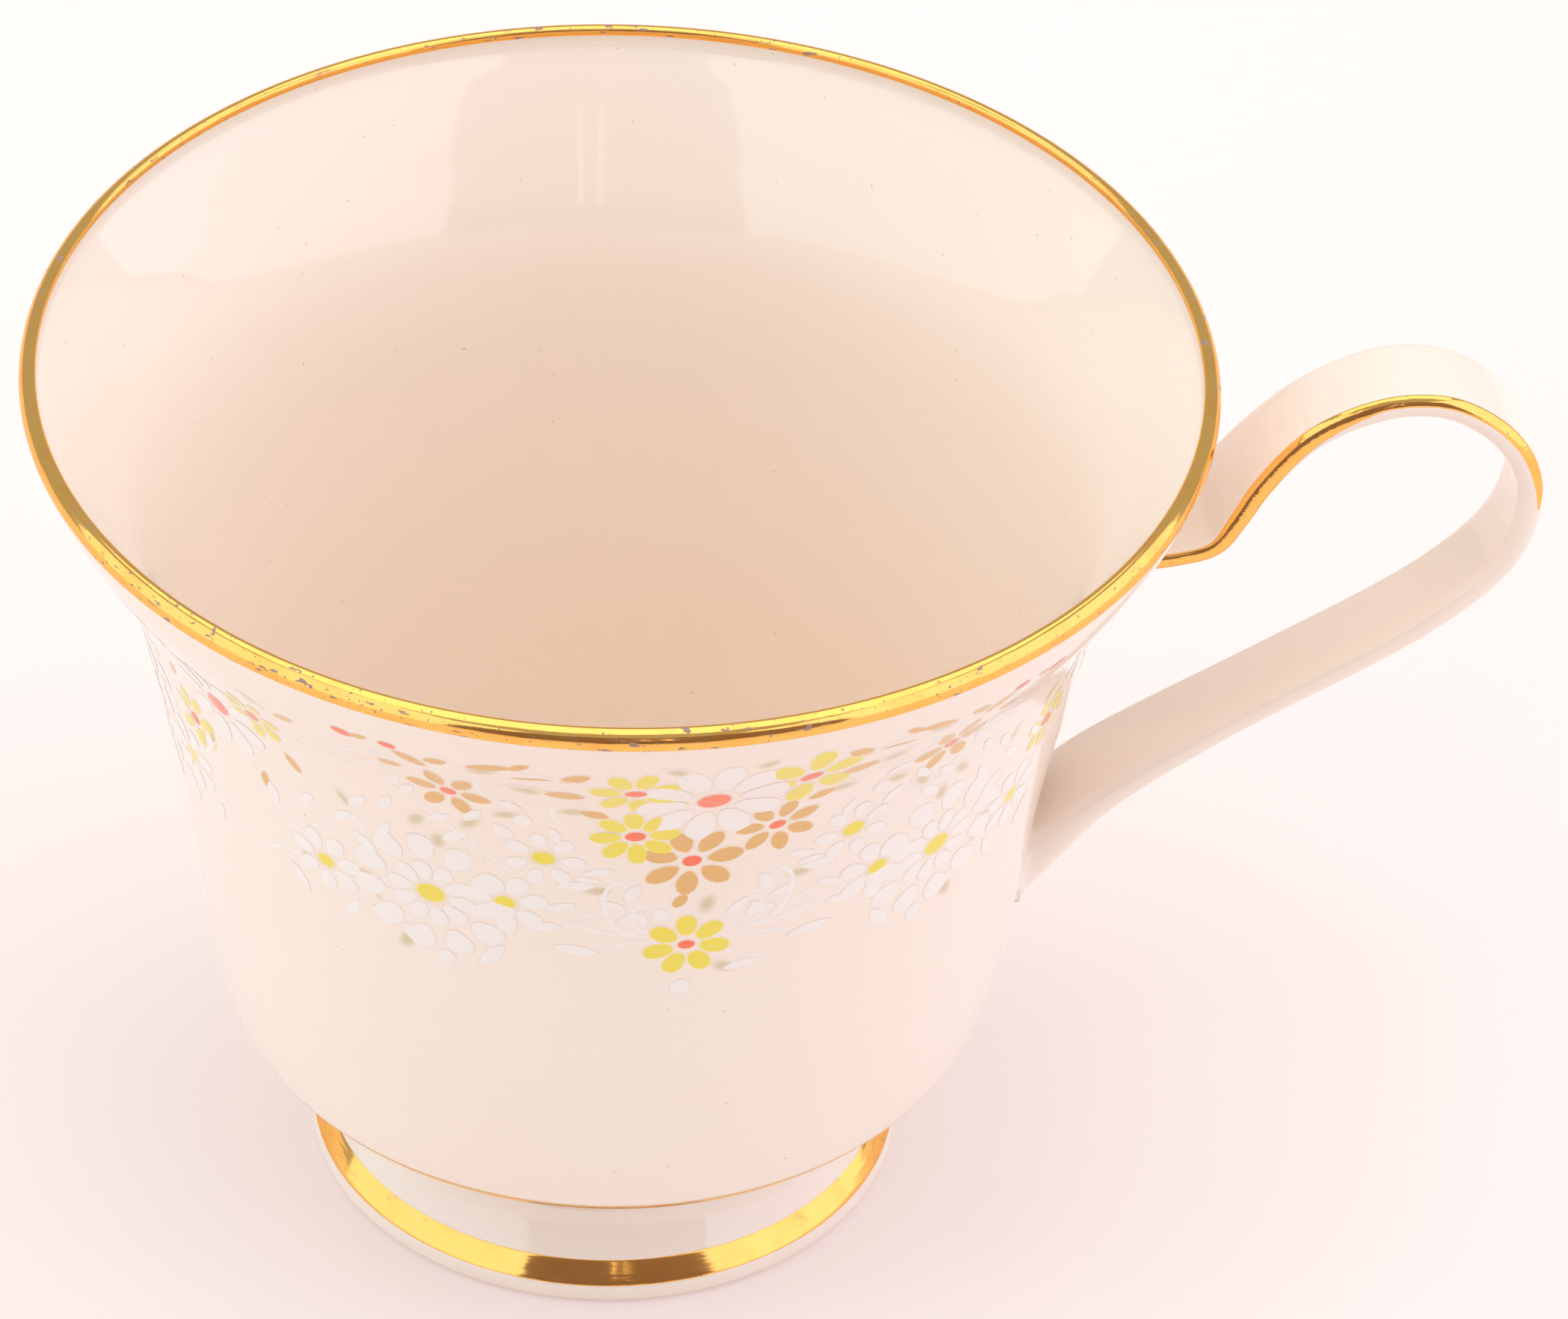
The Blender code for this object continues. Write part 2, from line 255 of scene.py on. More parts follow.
# Warm white china under clear glaze: clouds of faint warmth, rare iron specks and a glaze that
# ripples very slightly.
bowl_china = Finish("bone_china_bowl", GLAZE)
clouds = bowl_china.noise(28.0, 3.0).rise(0.35, 0.7)
specks = bowl_china.noise(2600.0, 0.0).rise(0.875, 0.90)
bowl_china.paint({
    "Base Color": bowl_china.mix(specks * 0.5, bowl_china.mix(clouds, CHINA, CHINA_WARM), IRON_SPECK),
    "Roughness": 0.05 + 0.05 * bowl_china.noise(60.0, 2.0),
    "Normal": bowl_china.bump(bowl_china.noise(140.0, 1.0), 0.03, 0.0004),
})
dress(bowl, bowl_china.material, "bone_china", "bowl")

# ------------------------------------------------------------------------------------------ foot
# The pedestal ring is cast on its own, stuck to the bowl's seat with slip and wiped round with a
# wet brush, which leaves a small smooth fillet. The glaze is rubbed off where it stands.

FOOT_TOP = 8.2
FOOT_STAND = (21.9, 23.5)  # inside and outside of the ring that stands on the table
UNGLAZED = 0.0002  # metres above the table, up to where the glaze is rubbed off
FOOT_RUBBED = (0.78, 0.69, 0.62)
SLIP = (0.83, 0.70, 0.60)
FOOT_OUTSIDE = (
    (21.4, 8.9), (21.35, 8.2), (21.3, 7.2), (21.8, 5.7), (22.8, 3.9), (23.7, 2.5), (24.2, 1.6),
    (24.3, 0.9), (24.05, 0.3), (FOOT_STAND[1], 0.0),
)
FOOT_INSIDE = (
    (FOOT_STAND[0], 0.0), (21.4, 0.5), (20.4, 3.6), (19.2, 7.0), (18.9, FOOT_TOP), (18.8, 8.9),
)
SEAM_FILLET = ((21.25, 7.3), (21.45, 8.1), (21.95, 8.85), (22.75, 9.62))
SEAM_BURIED = ((21.9, 9.7), (20.9, 8.6), (20.9, 7.6))  # its back, inside the china

foot_outline = np.vstack([smooth_line(FOOT_OUTSIDE), smooth_line(FOOT_INSIDE)])
foot = turned("cup_foot", foot_outline, loop=True)
foot_china = Finish("bone_china_foot", GLAZE)
height = foot_china.node("ShaderNodeSeparateXYZ", None, {0: foot_china.place()}, out="Z")
standing = 1 - height.rise(0.0, UNGLAZED)
glazed = foot_china.mix(foot_china.noise(40.0).rise(0.35, 0.7), CHINA, CHINA_WARM)
foot_china.paint({
    "Base Color": foot_china.mix(standing * 0.6, glazed, FOOT_RUBBED),
    "Roughness": 0.06 + 0.5 * standing + 0.04 * foot_china.noise(90.0),
    "Normal": foot_china.bump(foot_china.noise(220.0, 1.0), 0.06, 0.0004),
})
dress(foot, foot_china.material, "bone_china", "foot")

seam_outline = np.vstack([smooth_line(SEAM_FILLET)[::-1], SEAM_BURIED[::-1]])
seam = turned("foot_slip_fillet", seam_outline, loop=True)
slip = Finish("slip_under_glaze", GLAZE)
slip.paint({
    "Base Color": slip.mix(slip.noise(160.0).rise(0.4, 0.7), CHINA, SLIP),
    "Roughness": 0.10 + 0.08 * slip.noise(300.0),
    "Normal": slip.bump(slip.noise(420.0, 2.0), 0.15, 0.0004),
})
dress(seam, slip.material, "slip_joint", "foot_slip_seam")

# ---------------------------------------------------------------------------------------- handle
# A pressed ribbon bent into an ear with a raised spur, cut to the wall's curve at both ends and
# stuck on with slip, which is smoothed into a fillet where it meets the bowl.

HANDLE_LINE = (
    (34.5, 60.2), (38.5, 60.5), (44.2, 61.0), (47.3, 61.9), (49.0, 64.0), (50.9, 66.9),
    (54.3, 70.7), (58.0, 73.0), (61.8, 74.1), (65.6, 73.8), (69.1, 71.8), (71.4, 69.1),
    (72.5, 66.2), (72.6, 63.8), (72.1, 60.9), (70.9, 58.2), (68.9, 55.7), (65.8, 52.8),
    (62.0, 50.0), (58.3, 47.6), (54.6, 45.3), (50.8, 42.9), (47.0, 40.4), (43.2, 37.8),
    (39.3, 34.8), (36.2, 31.6), (32.2, 27.0),
)
HANDLE_LAST = len(HANDLE_LINE) - 1
WIDTH_STATIONS = (0.0, 3.5, 6.0, HANDLE_LAST - 5, HANDLE_LAST)
HANDLE_WIDTHS = (11.8, 11.2, 8.0, 8.0, 10.4)
THICKNESS_STATIONS = (0.0, 3.5, 6.0, HANDLE_LAST - 3, HANDLE_LAST)
HANDLE_THICKNESSES = (1.9, 1.9, 2.3, 2.3, 4.2)
FACE_SHARE = 0.5  # cosine below which a turn of the section lies on a broad face
HANDLE_PER_SPAN = 10
HANDLE_COLUMNS = 72
FILLET_RADIUS = 1.1
HANDLE_SUNK = 0.8  # how far the handle's hidden ends reach into the wall
UNDER_WALL = 0.1  # how far at least they stay under its surface

handle_line = smooth_line(HANDLE_LINE, HANDLE_PER_SPAN)
along = np.gradient(handle_line, axis=0)
along /= np.linalg.norm(along, axis=1)[:, None]
handle_normal = np.stack([-along[:, 1], along[:, 0]], axis=1)
handle_station = np.arange(len(handle_line)) / HANDLE_PER_SPAN


def smoothed(stations, sizes):
    """Sizes along the handle, straight between stations and then eased over their corners."""
    plain = np.interp(handle_station, stations, sizes)
    window = np.hanning(2 * HANDLE_PER_SPAN + 1)
    padded = np.pad(plain, HANDLE_PER_SPAN, mode="edge")
    return np.convolve(padded, window / window.sum(), mode="valid")


def wall_radius(height):
    """The outer wall's radius at a height."""
    return np.interp(height, outer_wall[::-1, 1], outer_wall[::-1, 0])


def across_face(wave):
    """-1 on one side of the ribbon and 1 on the other, with a quarter sine each way between."""
    return np.sin(np.pi / 2 * np.clip(wave / FACE_SHARE, -1.0, 1.0))


def handle_surface(stations, turns, lift):
    """Points on the handle at stations of its middle line and turns round its section, which is
    a ribbon with round sides: a circle of half its thickness, drawn apart across its two broad
    faces. lift sets them out, and so does the slip's fillet, which is a quarter circle near the
    wall. What would pass through the wall stops inside it."""
    stations, turns, lift = np.broadcast_arrays(stations, turns, lift)

    def at(numbers):
        return np.interp(stations, handle_station, numbers)

    x, z = at(handle_line[:, 0]), at(handle_line[:, 1])
    nx, nz = at(handle_normal[:, 0]), at(handle_normal[:, 1])
    half_width = at(smoothed(WIDTH_STATIONS, HANDLE_WIDTHS)) / 2
    half_thickness = at(smoothed(THICKNESS_STATIONS, HANDLE_THICKNESSES)) / 2

    def points(grow):
        apart = (half_width - half_thickness) * across_face(np.cos(turns))
        across = apart + (half_thickness + grow) * np.cos(turns)
        through = (half_thickness + grow) * np.sin(turns)
        return np.stack([x + through * nx, across, z + through * nz], axis=-1)

    bare = points(lift)
    clearance = np.hypot(bare[..., 0], bare[..., 1]) - wall_radius(bare[..., 2])
    short = FILLET_RADIUS - np.clip(clearance, 0.0, FILLET_RADIUS)
    filled = points(lift + FILLET_RADIUS - np.sqrt(FILLET_RADIUS**2 - short**2))
    reach = np.hypot(filled[..., 0], filled[..., 1])
    wall = wall_radius(filled[..., 2])
    furthest = np.where(clearance < 0, wall - UNDER_WALL, np.inf)
    held = np.clip(reach, wall - HANDLE_SUNK, furthest)
    filled[..., :2] *= (held / reach)[..., None]
    return filled + (AXIS_X, 0.0, 0.0)


turns = np.arange(HANDLE_COLUMNS) * math.tau / HANDLE_COLUMNS
ear = handle_surface(handle_station[:, None], -turns, 0.0)
ends = [np.repeat(ear[end].mean(axis=0)[None, None], HANDLE_COLUMNS, axis=1) for end in (0, -1)]
handle = surface("cup_handle", np.concatenate([ends[0], ear, ends[1]]), loop_columns=True)
handle_china = Finish("bone_china_handle", GLAZE)
handle_china.paint({
    "Base Color": handle_china.mix(handle_china.noise(50.0).rise(0.35, 0.7), CHINA, CHINA_WARM),
    "Roughness": 0.05 + 0.05 * handle_china.noise(110.0),
    "Normal": handle_china.bump(handle_china.noise(240.0, 1.0), 0.08, 0.0004),
})
dress(handle, handle_china.material, "bone_china",
      "handle", "handle_upper_slip_joint", "handle_lower_slip_joint")

# --------------------------------------------------------------------------------------- gilding
# Liquid bright gold, painted on the fired glaze with a brush on a wheel and fired again at a low
# heat, then burnished. It stands a little proud of the glaze and wears first on the lip.

GOLD = (1.0, 0.545, 0.135)
GOLD_DEEP = (0.97, 0.47, 0.105)
GOLD_THIN = (0.80, 0.58, 0.33)  # a hairline, through which the china shows
GOLD_THIN_DEEP = (0.76, 0.53, 0.29)
GOLD_LOST = (0.36, 0.22, 0.17)  # where it is rubbed through
GOLD_EDGE = (1.0, 0.90, 0.74, 1.0)  # its colour at a glancing angle
GOLD_PROUD = 0.03
GOLD_EDGE_SUNK = 0.004  # how far its outline lies under the glaze
GOLD_SUNK = 0.12
WORN, SOUND = 1.0, 0.3  # how much of its wear a run of gold shows
RIM_LINE_OUTSIDE = 76.3  # height of its lower edge outside
BELLY_LINE = (14.9, 16.6)
FOOT_BAND = (1.80, 3.68)
GOLD_STEPS = 24
FINE_PER_SPAN = 40  # steps on each span of an outline that a line of gold is cut from


def gilding(name, wear, colour=GOLD, deep=GOLD_DEEP):
    """Burnished gold: brushed round the cup, deeper in places, and rubbed through to the glaze
    in pits and short scuffs where wear is high. It ends in a mix of gold and bare ground."""
    gold = Finish(name, {"Metallic": 1.0, "Specular Tint": GOLD_EDGE})
    stroke = gold.noise(2400.0, 2.0, (0.12, 0.12, 1.0))
    thin = gold.noise(260.0, 3.0).rise(0.40, 0.75)
    gold.paint({
        "Base Color": gold.mix(thin * 0.8, colour, deep),
        "Roughness": 0.05 + 0.07 * stroke + 0.05 * thin,
        "Normal": gold.bump(stroke, 0.10, 0.0002),
    })
    bare = gold.node("ShaderNodeBsdfPrincipled", None, {
        "Base Color": GOLD_LOST, "Roughness": 0.4})
    pits = gold.noise(3000.0, 1.0).rise(0.80 - 0.1 * wear, 0.84 - 0.1 * wear)
    rubbed = gold.noise(70.0).rise(0.44, 0.56)
    scuffs = gold.noise(1500.0, 3.0, (0.5, 0.5, 1.6)).rise(0.61, 0.68) * rubbed
    lost = pits + scuffs * wear
    mixed = gold.node("ShaderNodeMixShader", None, {
        0: lost.rise(0.0, 0.9), 1: Value(gold, gold.shader.outputs[0]), 2: bare})
    gold.feed(gold.output, {"Surface": mixed})
    return gold.material


def normals_of(line):
    """Unit normals on the left of a line in the plane, square to its gradient."""
    run = np.gradient(line, axis=0)
    run /= np.linalg.norm(run, axis=1)[:, None]
    return np.stack([-run[:, 1], run[:, 0]], axis=1)


def gold_rise(share):
    """The film's height at -1 to 1 across it: flat, and rounding down over its last tenth."""
    return GOLD_PROUD * (1 - share**8) - GOLD_EDGE_SUNK


def skin_of(line):
    """The closed outline of a film on a line that runs down an outer side: proud of it by
    gold_rise, and closed under the glaze."""
    share = np.linspace(-1.0, 1.0, len(line))[:, None]
    normal = normals_of(line)
    return np.vstack([line + normal * gold_rise(share), (line - normal * GOLD_SUNK)[::-1]])


def cut_between(line, lowest, highest):
    """The stretch of a falling line between two heights, in even steps of height."""
    height = np.linspace(highest, lowest, GOLD_STEPS + 1)
    return np.stack([np.interp(height, line[::-1, 1], line[::-1, 0]), height], axis=1)


rim_line = np.vstack([lip[1:], cut_between(outer_wall, RIM_LINE_OUTSIDE, outer_wall[0, 1])])
rim = turned("rim_gold", skin_of(rim_line), loop=True)
dress(rim, gilding("rim_burnished_gold", WORN), "burnished_gold", "rim_gilding")

belly_line = cut_between(smooth_line(OUTER_WALL, FINE_PER_SPAN), *BELLY_LINE)
belly = turned("belly_gold_line", skin_of(belly_line), loop=True)
belly_gold = gilding("belly_burnished_gold", SOUND, GOLD_THIN, GOLD_THIN_DEEP)
dress(belly, belly_gold, "burnished_gold", "belly_gilding_line")

band_line = cut_between(smooth_line(FOOT_OUTSIDE, FINE_PER_SPAN), *FOOT_BAND)
band = turned("foot_gold_band", skin_of(band_line), loop=True)
dress(band, gilding("foot_burnished_gold", SOUND), "burnished_gold", "foot_gilding_band")

EDGE_LINE_STATIONS = (1.2, 13.0)
NEAR_LINE_TURNS = (14.0, 66.0)  # degrees round the section, from its side to its outer face
FAR_LINE_TURNS = (8.0, 50.0)  # painted lower on the other side
ROOT_LINE_TURN = -50.0  # over the root and the spur the line covers the whole side
ROOT_STATIONS = (5.0, 7.6)  # where its lower edge climbs to its place along the loop
STUB_LINE_TURN = 44.0  # its upper edge next to the wall
STUB_STATIONS = (2.6, 4.6)  # where its upper edge rises from there
EDGE_LINE_TAPERS = (0.25, 1.2)  # stations over which its first and last ends run out to a point
EDGE_LINE_ROWS = 180
EDGE_LINE_COLUMNS = 12
edge_gold = gilding("handle_burnished_gold", SOUND)


def edge_line(name, side, place, node):
    """A gold line on the handle between two turns of its section, on the side of the cup that
    side gives by its sign. Its columns go over the line and back under the glaze, and its ends
    close as the two turns meet."""
    along_line = np.linspace(*EDGE_LINE_STATIONS, EDGE_LINE_ROWS)[:, None]
    there = np.linspace(-1, 1, EDGE_LINE_COLUMNS)
    share = np.concatenate([there, there[::-1]])
    over = np.arange(2 * EDGE_LINE_COLUMNS) < EDGE_LINE_COLUMNS
    rise = np.where(over, gold_rise(share), -GOLD_SUNK)
    from_first = (along_line - EDGE_LINE_STATIONS[0]) / EDGE_LINE_TAPERS[0]
    from_last = (EDGE_LINE_STATIONS[1] - along_line) / EDGE_LINE_TAPERS[1]
    fullness = np.sqrt(np.clip(np.minimum(from_first, from_last), 0.0, 1.0))
    low = np.interp(along_line, ROOT_STATIONS, (ROOT_LINE_TURN, place[0]))
    high = np.interp(along_line, STUB_STATIONS, (min(STUB_LINE_TURN, place[1]), place[1]))
    turn = np.radians((low + high) / 2 + (high - low) / 2 * share * fullness)
    turn = np.pi - turn if side < 0 else turn
    grid = handle_surface(along_line, turn, rise)
    piece = surface(name, grid if side < 0 else grid[:, ::-1], loop_columns=True)
    dress(piece, edge_gold, "burnished_gold", node)


edge_line("handle_gold_near", -1, NEAR_LINE_TURNS, "handle_gilding_near")
edge_line("handle_gold_far", 1, FAR_LINE_TURNS, "handle_gilding_far")

# --------------------------------------------------------------------------------- enamel sprays
# Flower sprays in on-glaze enamel, laid on as printed sheets and fired: opaque white and coral,
# clear yellow and ochre, and a soft olive shade. Each is a few hundredths of a millimetre thick.

SPRAY_MIDDLES = (-83.7, 36.3, 156.3)  # degrees round the cup from the handle
BUNCH_MIDDLES = (-23.7, 96.3, 216.3)
HANDLE_CLEAR = 11.0  # degrees each side of the handle left bare
PETAL_RINGS = np.array([0.0, 0.45, 0.8, 1.0])
PETAL_SIDES = 14
LAYER_STEP = 0.0015  # petals that overlap lie at one of a few levels, so that none cuts another
LAYERS = 5
PETAL_FALL = 0.7  # share of its height that a petal loses towards its outline


def petal_rows(degrees, height, turn, length, width, point=1.0, lean=0.0):
    """One petal or leaf a row: its middle, the turn of its long axis from the cup's horizontal,
    its size in millimetres, how pointed it is, and how much fuller it is towards its tip."""
    parts = np.broadcast_arrays(degrees, height, turn, length, width, point, lean)
    return np.stack([np.asarray(part, float).ravel() for part in parts], axis=1)


def ring_of(degrees, height, count, start, inner, length, width, point=1.0, lean=0.0):
    """Petals evenly round a flower's middle, from inner outwards. A millimetre across is turned
    into degrees by the wall's radius at that height."""
    turn = start + 360.0 * np.arange(count) / count
    reach = inner + np.broadcast_to(length, (count,)) / 2
    across, up = reach * np.cos(np.radians(turn)), reach * np.sin(np.radians(turn))
    around = degrees + np.degrees(across / wall_radius(height + up))
    return petal_rows(around, height + up, turn, length, width, point, lean)


def on_wall(degrees, height, proud):
    """A point that stands proud of the outer wall, at degrees round the cup and a height."""
    slope = np.gradient(outer_wall[::-1, 0], outer_wall[::-1, 1])
    tilt = np.arctan(np.interp(height, outer_wall[::-1, 1], slope))
    radius = wall_radius(height) + proud * np.cos(tilt)
    turn = np.radians(degrees)
    level = height - proud * np.sin(tilt)
    return np.stack([AXIS_X + radius * np.cos(turn), radius * np.sin(turn), level], axis=-1)


def petals(name, rows, proud):
    """Every petal of one enamel as a fan of rings about its middle: at angle a the outline is
    half the length times cos a along it, and half the width times a sine sharpened by its point
    and leaned by cos a across it. The film thins towards the outline."""
    degrees, height, turn, length, width, point, lean = rows.T[:, :, None, None]
    ring = PETAL_RINGS[:, None]
    angle = np.arange(PETAL_SIDES) * math.tau / PETAL_SIDES
    wave = np.sign(np.sin(angle)) * np.abs(np.sin(angle)) ** point
    u = ring * length / 2 * np.cos(angle)
    v = ring * width / 2 * wave * (1 + lean * np.cos(angle))
    cos_t, sin_t = np.cos(np.radians(turn)), np.sin(np.radians(turn))
    up = height + u * sin_t + v * cos_t
    around = degrees + np.degrees((u * cos_t - v * sin_t) / wall_radius(height))
    layer = LAYER_STEP * (np.arange(len(rows)) % LAYERS)[:, None, None]
    grid = on_wall(around, up, proud * (1 - PETAL_FALL * ring**4) + layer + 0 * around)
    count, rings = len(rows), len(PETAL_RINGS)
    index = np.arange(count * rings * PETAL_SIDES).reshape(count, rings, PETAL_SIDES)
    index = np.concatenate([index, index[:, :, :1]], axis=2)
    corners = [index[:, :-1, :-1], index[:, 1:, :-1], index[:, 1:, 1:], index[:, :-1, 1:]]
    faces = np.stack(corners, axis=-1).reshape(-1, 4)
    edge = np.broadcast_to(ring, grid.shape[:3])
    return mesh_piece(name, grid.reshape(-1, 3), faces, {"edge": edge})


def all_round(rows, middles):
    """The rows of one spray, written about its own middle, repeated round the cup and kept clear
    of the handle."""
    laid = np.vstack([rows + np.array([middle, 0, 0, 0, 0, 0, 0]) for middle in middles])
    away = (laid[:, 0] + 180.0) % 360.0 - 180.0
    return laid[np.abs(away) > HANDLE_CLEAR]


def mirrored(rows):
    """Rows and their mirror image in the spray's middle."""
    other = rows.copy()
    other[:, 0] *= -1
    other[:, 2] = 180.0 - other[:, 2]
    return np.vstack([rows, other])


def both(spray, bunch):
    """The rows of the sprays and of the smaller bunches between them, all round the cup."""
    return np.vstack([
        all_round(np.vstack(spray), SPRAY_MIDDLES),
        all_round(np.vstack(bunch), BUNCH_MIDDLES),
    ])


# White: the large daisy, the two dahlias beside it, small daisies, leaves and buds.
dahlia = [
    ring_of(32.3, 51.8, 10, 8, 1.45, 2.35, 1.6, 0.9, 0.15),
    ring_of(32.3, 51.8, 11, 20, 3.95, 3.0, 2.45, 0.9, 0.2),
]
small_daisies = [
    ring_of(23.0, 52.6, 7, 12, 1.1, 2.5, 1.8, 1.0, 0.2),
    ring_of(18.2, 58.6, 7, 30, 1.3, 2.0, 1.4, 1.0, 0.1),
]
white_leaves = petal_rows(
    [12.0, 14.5, 10.2, 13.2, 8.0, 6.9, 20.3, 26.0, 22.6, 28.5, 31.0, 35.5, 39.5, 41.0, 37.8, 25.0,
     16.8, 21.5, 30.2, 14.6, 18.6, 16.4, 7.9, 40.6, 36.6, 43.2, 33.2],
    [57.4, 55.6, 53.4, 56.4, 52.0, 51.8, 63.4, 63.0, 61.5, 59.6, 44.6, 46.3, 47.2, 54.0, 57.6, 46.0,
     61.8, 65.6, 61.6, 47.9, 50.4, 52.9, 54.9, 60.2, 61.6, 57.6, 64.6],
    [165, 178, 20, 5, 150, 60, 110, 130, 50, 140, 85, 60, 45, 140, 120, 125,
     75, 200, 150, 8, 172, 160, 115, 130, 118, 140, 125],
    [2.6, 3.2, 2.4, 2.2, 2.6, 2.0, 2.0, 2.6, 2.4, 2.8, 2.0, 2.4, 2.6, 3.0, 3.0, 3.6,
     2.2, 2.2, 2.6, 3.9, 3.3, 2.8, 2.4, 2.8, 2.6, 2.6, 2.6],
    [0.9, 1.1, 0.9, 0.8, 0.9, 1.1, 1.5, 1.0, 1.3, 1.1, 1.7, 1.3, 1.1, 1.1, 1.0, 1.3,
     1.0, 1.1, 0.9, 1.25, 1.1, 1.0, 1.2, 1.1, 1.0, 1.0, 1.0],
    1.5,
)
white_middle = [
    ring_of(0.0, 67.3, 10, 10, 1.9, 4.3, 2.45, 0.9, 0.25),
    petal_rows([-1.5, 6.0, -4.4, 4.7], [43.4, 45.3, 52.2, 52.4], [80, 10, 130, 50],
               [1.9, 3.2, 1.9, 2.6], [1.7, 0.9, 1.3, 1.0], 1.1),
]
white_bunch = [
    ring_of(0.0, 63.3, 9, 15, 1.7, 3.4, 2.1, 0.9, 0.25),
    mirrored(ring_of(13.0, 51.0, 7, 10, 1.1, 2.4, 1.7, 1.0, 0.2)),
    mirrored(petal_rows(
        [8.0, 16.0, 19.5, 6.0, 11.5], [47.2, 46.5, 55.5, 56.0, 57.5], [120, 60, 140, 100, 45],
        [3.0, 3.4, 2.6, 2.4, 2.6], [1.1, 1.0, 1.2, 1.2, 1.0], 1.5)),
]
white_sides = mirrored(np.vstack([*dahlia, *small_daisies, white_leaves]))
white_rows = both([white_sides, *white_middle], white_bunch)

# Yellow: four open daisies about the large one, and the middles of the white flowers.
yellow_spray = [
    ring_of(-8.2, 69.4, 7, 20, 0.9, 2.8, 1.85, 0.9, 0.1),
    ring_of(-7.9, 62.1, 8, 5, 0.9, 2.8, 1.75, 0.9, 0.1),
    ring_of(9.7, 69.3, 6, 25, 1.0, 3.4, 2.3, 0.9, 0.15),
    ring_of(-1.1, 48.5, 7, -10, 0.9, 2.75, 1.9, 0.9, 0.1),
]
HEARTS = ([32.3, 23.0, 18.2], [51.9, 52.7, 58.7], [0, 10, 5])  # of the white flowers, and their turns
yellow_hearts = mirrored(petal_rows(*HEARTS, [2.7, 1.9, 2.1], [2.3, 1.7, 1.7]))
yellow_bunch = [
    ring_of(7.5, 66.0, 7, 5, 0.9, 2.1, 1.4, 0.9, 0.1),
    ring_of(-8.6, 57.2, 7, 15, 0.9, 2.1, 1.4, 0.9, 0.1),
    mirrored(petal_rows([13.0], [51.0], [0], [1.8], [1.6])),
]
yellow_rows = both([*yellow_spray, yellow_hearts], yellow_bunch)

# Ochre: pointed daisies, the leaf pairs under the rim and single buds.
ochre_spray = [
    ring_of(-1.3, 58.6, 7, 8, 1.0, 3.3, 2.0, 1.3, 0.1),
    ring_of(8.1, 61.9, 7, 25, 0.9, 2.7, 1.6, 1.2, 0.0),
    mirrored(ring_of(28.0, 66.2, 6, 10, 0.8, 2.7, 1.6, 1.2, 0.0)),
    mirrored(petal_rows(
        [22.6, 18.2, 14.2, 15.4, 12.4, 30.8, 28.0, 33.6, 35.8, 19.6],
        [72.2, 71.2, 71.8, 68.6, 65.3, 71.0, 71.6, 69.0, 72.4, 72.9],
        [165, 172, 155, 185, 200, 30, 165, 175, 165, 150],
        [4.4, 4.2, 3.0, 3.6, 2.7, 3.2, 2.3, 2.2, 1.8, 2.4],
        [1.1, 0.35, 1.4, 1.4, 1.3, 1.3, 1.1, 1.0, 0.8, 0.9], 1.5)),
    petal_rows([-2.3], [53.8], [60], [1.9], [1.2], 1.2),
]
ochre_bunch = [
    ring_of(-6.8, 69.1, 6, 0, 0.8, 2.0, 1.2, 1.1, 0.0),
    mirrored(petal_rows([11.0, 14.5, 5.0], [61.5, 70.0, 57.0], [120, 20, 80],
                        [2.4, 2.6, 2.2], [1.1, 1.0, 1.0], 1.4)),
]
ochre_rows = both(ochre_spray, ochre_bunch)

# Coral: the ochre, yellow and large white flowers' hearts, and two buds near the rim.
coral_spray = [
    petal_rows([0.0, -8.2, -7.9, 9.7, -1.1, -1.3, 8.1],
               [67.3, 69.4, 62.1, 69.3, 48.5, 58.6, 61.9], [5, 0, 0, 20, 0, 5, 15],
               [2.9, 1.9, 1.8, 2.0, 1.5, 1.7, 1.5], [2.7, 1.2, 1.4, 1.3, 1.1, 1.4, 1.2]),
    mirrored(petal_rows([28.0, 37.6, 32.7], [66.2, 72.3, 72.4], [0, 10, 5],
                        [1.5, 1.9, 1.6], [1.2, 1.1, 0.9])),
]
coral_bunch = [
    petal_rows([0.0, 7.5, -8.6, -6.8], [63.3, 66.0, 57.2, 69.1], [0, 0, 5, 0],
               [2.5, 1.5, 1.5, 1.4], [2.3, 1.3, 1.3, 1.2]),
]
coral_rows = both(coral_spray, coral_bunch)

# Olive: soft shadow leaves behind the flowers, and a shade behind each yellow heart.
olive_spray = [
    mirrored(petal_rows(
        [23.3, 19.2, 14.6, 22.0, 26.4, 10.6, 12.0, 30.6, 36.2, 41.8, 4.4, 33.0, 27.5],
        [71.5, 68.9, 65.6, 64.0, 61.9, 62.4, 55.2, 58.6, 45.4, 51.3, 73.1, 60.6, 57.0],
        [160, 190, 175, 165, 130, 10, 175, 100, 120, 150, 20, 130, 95],
        [3.9, 3.7, 3.7, 3.5, 3.5, 2.9, 3.2, 2.6, 3.3, 3.9, 2.8, 3.1, 2.5],
        [1.8, 1.9, 1.7, 1.6, 1.8, 1.7, 1.6, 1.9, 2.0, 1.9, 1.5, 1.7, 1.8])),
    petal_rows([1.0, 3.8], [53.2, 45.4], [80, 150], [3.2, 3.2], [2.0, 1.8]),
    mirrored(petal_rows(*HEARTS, [4.0, 3.1, 3.3], [3.5, 2.6, 2.7])),
]
olive_bunch = [
    mirrored(petal_rows([10.5, 17.5, 9.5, 20.0], [70.5, 60.0, 50.0, 50.0], [150, 120, 80, 110],
                        [2.8, 2.6, 2.6, 3.0], 1.2, 1.1)),
    mirrored(petal_rows([13.0], [51.0], [0], [3.0], [2.6])),
]
olive_rows = both(olive_spray, olive_bunch)


